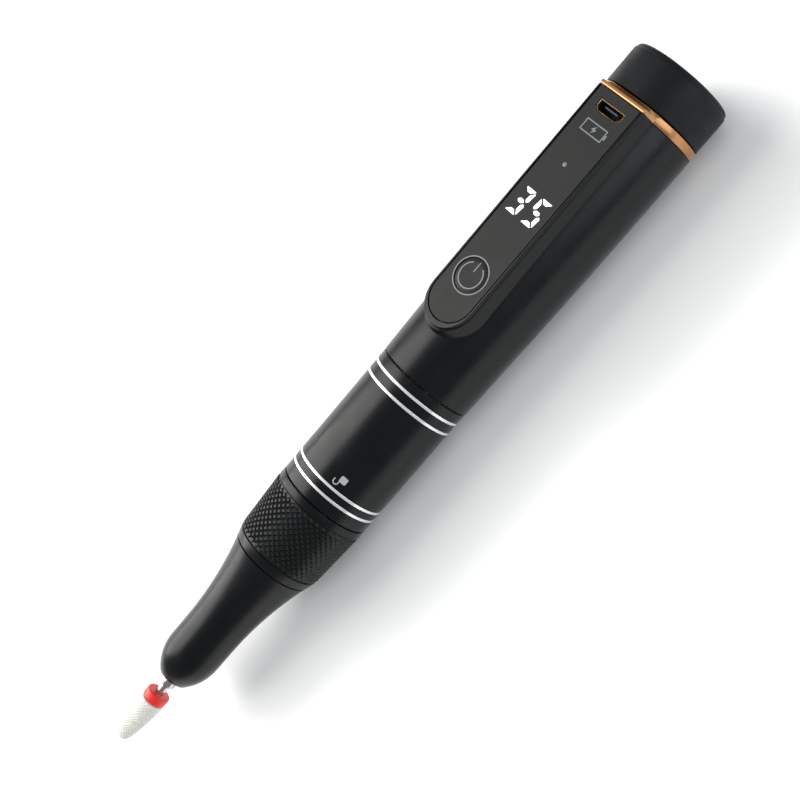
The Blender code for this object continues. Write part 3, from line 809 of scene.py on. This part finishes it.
def socket_outline(grow, up):
    """The socket's mouth: a long box whose two front corners are cut off."""
    x, wide, deep = middle_of("usb_socket"), SOCKET_WIDE + grow, SOCKET_DEEP + grow
    cut = SOCKET_BEVEL + grow * 0.4
    points = [(x + deep, -wide), (x + deep, wide), (x - deep + cut, wide), (x - deep, wide - cut)]
    points += [(x - deep, -wide + cut), (x - deep + cut, -wide)]
    return [place(*point, up) for point in points]


def circle_outline(x, radius, up, steps=SMALL_ROUND):
    points = []
    for step in range(steps):
        angle = 2 * math.pi * step / steps
        points.append(place(x + radius * math.cos(angle), radius * math.sin(angle), up))
    return points


def build_panel():
    """The panel's plate with eased edges, and wells for the button, the lamp and the socket."""
    rear = rear_of("control_panel")
    levels = [(0.0, 13.3), (0.0, PANEL_TOP - 0.06), (0.018, PANEL_TOP - 0.018), (0.06, PANEL_TOP)]
    outlines = [pod_outline(PANEL_HALF - ease, PANEL_HALF - ease, rear - ease, up) for ease, up in levels]
    panel = stacked_piece("panel_plate", outlines, "housing", "panel_grey", ["control_panel"])
    button_x, lamp_x = middle_of("power_button"), middle_of("indicator_led")
    wells = {
        "button_well": lambda up: circle_outline(button_x, BUTTON_HOLE, up, BUTTON_ROUND),
        "lamp_well": lambda up: circle_outline(lamp_x, LAMP_HOLE, up),
        "socket_well": lambda up: socket_outline(0.12, up),
    }
    cutters = []
    for name, well in wells.items():
        below, above = well(12.0), well(16.0)
        cutters.append(("DIFFERENCE", stacked_solid(name, [below, above])))
    carve(panel, cutters)
    resurface(panel, MATERIALS["panel_grey"], 12.0)


BUTTON_RIM = BUTTON_HOLE - 0.06
BUTTON_CROWN = 3.25
BUTTON_TOP = PANEL_TOP + 0.02
BUTTON_SLOPE = 0.34
BUTTON_FLANGE = 4.85
BUTTON_UNDERSIDE = 12.75


def button_top(radius):
    """Height of the button's face: flat crown, sloping to a sunk rim."""
    if radius <= BUTTON_CROWN:
        return BUTTON_TOP
    share = (radius - BUTTON_CROWN) / (BUTTON_RIM - BUTTON_CROWN)
    return BUTTON_TOP - BUTTON_SLOPE * share**1.25


def build_button():
    """The key with its power sign, and the ring printed round it on the panel."""
    x = middle_of("power_button")
    levels = [(BUTTON_FLANGE, BUTTON_UNDERSIDE), (BUTTON_FLANGE, RECESS_FLOOR), (BUTTON_RIM, RECESS_FLOOR)]
    steps = 12
    for step in range(steps + 1):
        radius = BUTTON_RIM - (BUTTON_RIM - BUTTON_CROWN + 0.15) * step / steps
        levels.append((radius, button_top(radius)))
    outlines = [circle_outline(x, radius, up, BUTTON_ROUND) for radius, up in levels]
    stacked_piece("power_key", outlines, "button", "button_black", ["power_button"], smooth=40.0)

    def on_key(right, up, height):
        return place(up, -right, button_top(math.hypot(right, up - x)) + height)

    shape = bmesh.new()
    print_line(shape, on_key, arc((0.0, x), 3.1, 122, 418, 90), SIGN_LINE)
    steps = 10
    stem = [(0.0, x + 0.95 + 2.6 * step / steps) for step in range(steps + 1)]
    print_line(shape, on_key, stem, 0.25)
    finish_piece("power_symbol", shape, "button", "button_black", surface=SYMBOL)
    shape = bmesh.new()
    print_ring(shape, flat_map(PANEL_TOP), (0.0, x), 4.5, SIGN_LINE)
    finish_piece("button_ring", shape, "housing", "panel_grey", surface=SYMBOL)


DIGIT_HEIGHT, DIGIT_WIDTH = 6.85, 3.55
STROKE, STROKE_GAP, STROKE_CORNER = 1.0, 0.33, 0.12
DIGIT_SLANT = math.tan(math.radians(7.0))
DIGIT_STEP = 5.3
LIT = {"3": "abgcd", "5": "afgcd"}


def segment_outline(letter):
    """One of the seven bars of a digit, as drawing points from the digit's lower left corner."""
    w, h, s, g, c = DIGIT_WIDTH, DIGIT_HEIGHT, STROKE, STROKE_GAP, STROKE_CORNER
    middle, half = h / 2, s / 2
    if letter in "ad":
        bar = [(g, h - c), (g + c, h), (w - g - c, h), (w - g, h - c), (w - s - g, h - s), (s + g, h - s)]
    elif letter == "g":
        bar = [(half + g, middle), (s + g, middle + half), (w - s - g, middle + half)]
        bar += [(w - half - g, middle), (w - s - g, middle - half), (s + g, middle - half)]
    else:
        bar = [(w - c, h - g - 0.05), (w - s, h - s - g), (w - s, middle + half + g)]
        bar += [(w - half, middle + g), (w, middle + half * 0.7 + g), (w, h - g - 0.2)]
    if letter in "fe":
        bar = [(w - x, y) for x, y in bar]
    if letter in "dce":
        bar = [(x, h - y) for x, y in bar]
    return bar


def build_display():
    """The lit bars of the two digits, leaning a little."""
    x = middle_of("display_module")
    mapped = flat_map(PANEL_TOP)
    for number, digit in enumerate("35"):
        shape = bmesh.new()
        left = (number - 0.5) * DIGIT_STEP - DIGIT_WIDTH / 2
        for letter in LIT[digit]:
            outline = []
            for across, up in segment_outline(letter):
                lean = (up - DIGIT_HEIGHT / 2) * DIGIT_SLANT
                outline.append((left + across + lean, x - DIGIT_HEIGHT / 2 + up))
            print_patch(shape, mapped, outline)
        finish_piece(f"lit_digit_{number + 1}", shape, "housing", "display_glass", surface=DIGIT_LIGHT)


def build_lamp():
    x = middle_of("indicator_led")
    rings = [(0.56, RECESS_FLOOR), (0.56, PANEL_TOP - 0.06), (0.5, PANEL_TOP)]
    rings += [(0.3, PANEL_TOP + 0.04), (0.1, PANEL_TOP + 0.05)]
    outlines = [circle_outline(x, radius, up, 32) for radius, up in rings]
    stacked_piece("lamp_dot", outlines, "housing", "lamp_lens", ["indicator_led"])


def build_charge_symbol():
    """A battery outline with a bolt: the generic sign for a charging socket."""
    mapped = flat_map(PANEL_TOP)
    up = front_of("usb_socket") - 3.6
    wide, high, line = 3.1, 1.35, 0.26
    shape = bmesh.new()
    corners = [(wide, high), (wide, -high), (-wide, -high), (-wide, high)]
    left, right = [
        [(across * (1 + grow / wide), up + along * (1 + grow / high)) for across, along in corners]
        for grow in (line / 2, -line / 2)
    ]
    print_strip(shape, mapped, left, right, loop=True)
    pole = wide + 0.42
    print_line(shape, mapped, [(pole, up - 0.55), (pole, up + 0.55)], 0.36)
    half_bolt = [(0.35, 1.0), (-0.75, -0.12), (-0.08, -0.12)]
    bolt = [(side * across, up + side * along) for side in (1, -1) for across, along in half_bolt]
    print_patch(shape, mapped, bolt)
    finish_piece("charge_symbol", shape, "housing", "panel_grey", surface=SYMBOL)


def build_socket():
    """Gold-plated shell with a rolled lip, a near-black liner that paints the shade inside the mouth, and the
    tongue inside it.
    """
    lip = PANEL_TOP - 0.1
    levels = [(0.0, 9.5), (0.0, lip - 0.06), (-0.04, lip), (-0.13, lip), (-0.17, lip - 0.05), (-0.17, 9.8)]
    outlines = [socket_outline(grow, up) for grow, up in levels]
    stacked_piece("socket_shell", outlines, "housing", "socket_metal", ["usb_socket"], smooth=50.0)
    # The liner is painted shade: a near-black sheet inside the gold shell that darkens the socket's mouth.
    levels = [(-0.15, 9.7), (-0.15, lip - 0.2), (-0.22, lip - 0.26), (-0.22, 10.6)]
    outlines = [socket_outline(grow, up) for grow, up in levels]
    stacked_piece("socket_painted_shade", outlines, "housing", "switch_black", surface=PAINTED_SHADE_LINER)
    front = middle_of("usb_socket") + 0.15
    rear = middle_of("usb_socket") + 0.5
    tongue = [(front, -1.9), (rear, -1.9), (rear, 1.9), (front, 1.9)]
    outlines = [[place(*point, up) for point in tongue] for up in (10.5, lip - 0.5)]
    stacked_piece("socket_tongue", outlines, "housing", "switch_black", surface=TONGUE)


# ---------------------------------------------------------------- tail

KNOB_BORE = 11.2
KNOB_FLOOR = 100.5
BOSS_RADIUS = 3.4
BOSS_FRONT = 94.0
SHAFT_HOLE = 1.75
SHAFT_HOLE_END = 100.8
CAP_INSET = 0.28
CAP_ROUND = 0.95


def build_tail():
    """The speed knob, whose end is a slightly narrower cap, and the disc sunk in it."""
    front, rear = front_of("speed_knob"), rear_of("speed_knob")
    radius = half_width("speed_knob")
    cap_radius, cap_front = radius - CAP_INSET, rear - 1.15
    profile = [(rear - 1.2, 0.0), (rear - 1.2, 9.6), (rear - 0.15, 9.6, 0.1), (rear, 9.75, 0.1)]
    steps = 12
    for step in range(steps + 1):
        angle = math.pi / 2 * step / steps
        x = rear - CAP_ROUND + CAP_ROUND * math.cos(angle)
        profile.append((x, cap_radius - CAP_ROUND + CAP_ROUND * math.sin(angle)))
    profile += [(cap_front, cap_radius), (cap_front - 0.12, radius - 0.1, 0.06)]
    profile += [(cap_front - 0.3, radius, 0.1), (front + 0.15, radius, 0.1), (front, radius - 0.15, 0.06)]
    profile += [(front, KNOB_BORE), (KNOB_FLOOR, KNOB_BORE), (KNOB_FLOOR, BOSS_RADIUS)]
    profile += [(BOSS_FRONT, BOSS_RADIUS), (BOSS_FRONT, SHAFT_HOLE)]
    profile += [(SHAFT_HOLE_END, SHAFT_HOLE), (SHAFT_HOLE_END, 0.0)]
    lathe("knob_shell", profile, "knob", "soft_black", ["speed_knob"], closed=False)
    end = rear_of("knob_disc")
    face = end - 0.25
    disc = [(end - 0.9, 0.0), (end - 0.9, 9.3), (face, 9.35, 0.1), (face, 8.7), (face - 0.08, 8.6)]
    disc += [(face - 0.08, 8.45), (face, 8.35), (face, 0.0)]
    lathe("knob_face", disc, "knob", "soft_black", ["knob_disc"], closed=False)


# ---------------------------------------------------------------- bit and collet

HEAD_FULL_RADIUS = 3.25
HEAD_FULL_AT = 12.4
HEAD_REAR_RADIUS = 2.9
HEAD_ROWS = 28
HEAD_AROUND = 20
HEAD_TOOTH_DEPTH = 0.14
HEAD_CREST = 0.4
HEAD_TWIST = 0.03
SHANK_RADIUS = 1.175
COLLAR_BORE = 1.2


def head_radius(x):
    """A flame shape: it grows fast behind the tip, then stays full."""
    reach = max(x - front_of("bit_head"), 0.0)
    return HEAD_FULL_RADIUS * min(reach / HEAD_FULL_AT, 1.0) ** 0.31


def build_head():
    tip, rear = front_of("bit_head"), rear_of("bit_head")
    shape = bmesh.new()
    front_ring, rear_ring = toothed_band(shape, head_radius, tip + 0.35, rear - 0.2, HEAD_AROUND, HEAD_ROWS,
                                         HEAD_TOOTH_DEPTH, HEAD_CREST, HEAD_TWIST)
    close_fan(shape, front_ring, tip)
    rim = ring_beside(shape, rear_ring, rear, HEAD_REAR_RADIUS)
    skin(shape, rear_ring, rim)
    close_fan(shape, rim, rear)
    finish_piece("ceramic_head", shape, "bit", "ceramic", ["bit_head"], smooth=14.0)


def build_shank():
    """The red collar behind the head, and the shank that the collet holds."""
    front, rear = front_of("bit_collar"), rear_of("bit_collar")
    radius = half_width("bit_collar")
    profile = [(rear, COLLAR_BORE), (rear, radius, 0.45), (front, radius, 0.4), (front, COLLAR_BORE)]
    lathe("red_collar", profile, "bit", "red_plastic", ["bit_collar"], SMALL_ROUND * 2)
    front, rear = front_of("bit_shank"), rear_of("bit_shank")
    profile = [(rear, 0.0), (rear, SHANK_RADIUS, 0.3), (front, SHANK_RADIUS, 0.1), (front, 0.0)]
    lathe("steel_shank", profile, "bit", "steel", ["bit_shank"], SMALL_ROUND, closed=False)


COLLET_BODY_RADIUS = 1.75
COLLET_NOSE_RADIUS = 2.1
COLLET_NOSE_REAR = -81.0
COLLET_BODY_FRONT = -80.2
COLLET_BORE = 1.3
SLIT_REAR = -70.0
SLIT_LONG, SLIT_HALF = 3.0, 0.13


def build_collet():
    """The collet's slit nose, seen in the mouth of the drill."""
    front, rear = front_of("collet"), rear_of("collet")
    profile = [(rear, COLLET_BODY_RADIUS), (COLLET_BODY_FRONT, COLLET_BODY_RADIUS)]
    profile += [(COLLET_NOSE_REAR, COLLET_NOSE_RADIUS), (front + 0.35, COLLET_NOSE_RADIUS, 0.2)]
    profile += [(front, COLLET_BODY_RADIUS, 0.1), (front, COLLET_BORE), (rear, COLLET_BORE)]
    collet = lathe("collet_jaws", profile, "collet", "steel", ["collet"], SMALL_ROUND)
    cutters = []
    for number, (wide, tall) in enumerate(((SLIT_LONG, SLIT_HALF), (SLIT_HALF, SLIT_LONG)), 1):
        slit = [(front - 1, -wide), (SLIT_REAR, -wide), (SLIT_REAR, wide), (front - 1, wide)]
        outlines = [[place(x, y, up) for x, y in slit] for up in (-tall, tall)]
        cutters.append(("DIFFERENCE", stacked_solid(f"slit_{number}", outlines)))
    carve(collet, cutters)
    resurface(collet, MATERIALS["steel"])


# ---------------------------------------------------------------- pieces that keep their CAD shape

def dress_cad_nodes():
    """Gives every CAD node that still shows its slot's material."""
    slots = {part["node"]: part["material_slot"] for part in frame["record"]["subparts"]}
    for node, made in frame["nodes"].items():
        if made.hide_render:
            continue
        made.data.materials.clear()
        made.data.materials.append(MATERIALS[slots[node]])


# ---------------------------------------------------------------- camera and studio, in metres

CAMERA_DISTANCE = 0.29622
CAMERA_AIM = (0.00724, 0.00142, 0.01402)
CAMERA_AZIMUTH, CAMERA_ELEVATION, CAMERA_ROLL = 18.216, 56.774, -64.93
CAMERA_LENS = 56.7


def looking_back(azimuth, elevation):
    """Unit vector from an aim point towards a viewer. Azimuth 0 is on the -Y side."""
    a, e = math.radians(azimuth), math.radians(elevation)
    return Vector((math.sin(a) * math.cos(e), -math.cos(a) * math.cos(e), math.sin(e)))


def build_camera():
    data = bpy.data.cameras.new("camera")
    data.lens = CAMERA_LENS
    data.sensor_width = 36.0
    data.clip_start, data.clip_end = 0.01, 20.0
    camera = bpy.data.objects.new("camera", data)
    bpy.context.scene.collection.objects.link(camera)
    back = looking_back(CAMERA_AZIMUTH, CAMERA_ELEVATION)
    level = back.to_track_quat("Z", "Y").to_matrix().to_4x4()
    spot = Matrix.Translation(Vector(CAMERA_AIM) + back * CAMERA_DISTANCE)
    camera.matrix_world = spot @ level @ Matrix.Rotation(math.radians(CAMERA_ROLL), 4, "Z")
    bpy.context.scene.camera = camera


def softbox(name, azimuth, elevation, distance, size, power, colour=(1.0, 1.0, 1.0), mirrored=True):
    """A rectangular light aimed at the drill. One that isn't mirrored leaves no reflection of itself."""
    data = bpy.data.lights.new(name, "AREA")
    data.shape = "RECTANGLE"
    data.size, data.size_y = size
    data.energy = power
    data.color = colour
    made = bpy.data.objects.new(name, data)
    bpy.context.scene.collection.objects.link(made)
    back = looking_back(azimuth, elevation)
    made.location = Vector(CAMERA_AIM) + back * distance
    made.rotation_euler = back.to_track_quat("Z", "Y").to_euler()
    made.visible_glossy = mirrored


def build_studio():
    scene = bpy.context.scene
    world = bpy.data.worlds.new("studio")
    scene.world = world
    world.use_nodes = True
    sky = world.node_tree.nodes["Background"]
    sky.inputs["Color"].default_value = (0.95, 0.98, 1.0, 1.0)
    sky.inputs["Strength"].default_value = 0.25
    softbox("back_panel", 210.0, 38.0, 1.1, (0.74, 1.35), 15.5, (1.0, 1.0, 0.96))
    softbox("shadow_key", 196.0, 34.0, 1.3, (0.7, 0.45), 12.5, mirrored=False)
    softbox("overhead_fill", 30.0, 70.0, 1.2, (1.0, 1.0), 5.5, mirrored=False)
    softbox("front_panel", 24.0, 27.0, 1.0, (0.56, 0.7), 2.9, (0.88, 0.94, 1.0))
    shape = bmesh.new()
    bmesh.ops.create_grid(shape, x_segments=2, y_segments=2, size=3.0)
    mesh = bpy.data.meshes.new("floor")
    shape.to_mesh(mesh)
    shape.free()
    floor = bpy.data.objects.new("floor", mesh)
    scene.collection.objects.link(floor)
    pale = Surface("pale_floor", (0.86, 0.86, 0.86), 0.85)
    pale.vary_roughness(pale.noise(40.0), 0.82, 0.9)
    mesh.materials.append(pale.material)
    scene.view_settings.view_transform = "Standard"


build_camera()
build_nose()
build_grip()
build_lock()
build_lock_symbol()
build_casing()
build_trim()
build_panel()
build_button()
build_display()
build_lamp()
build_charge_symbol()
build_socket()
build_tail()
build_head()
build_shank()
build_collet()
dress_cad_nodes()
build_studio()
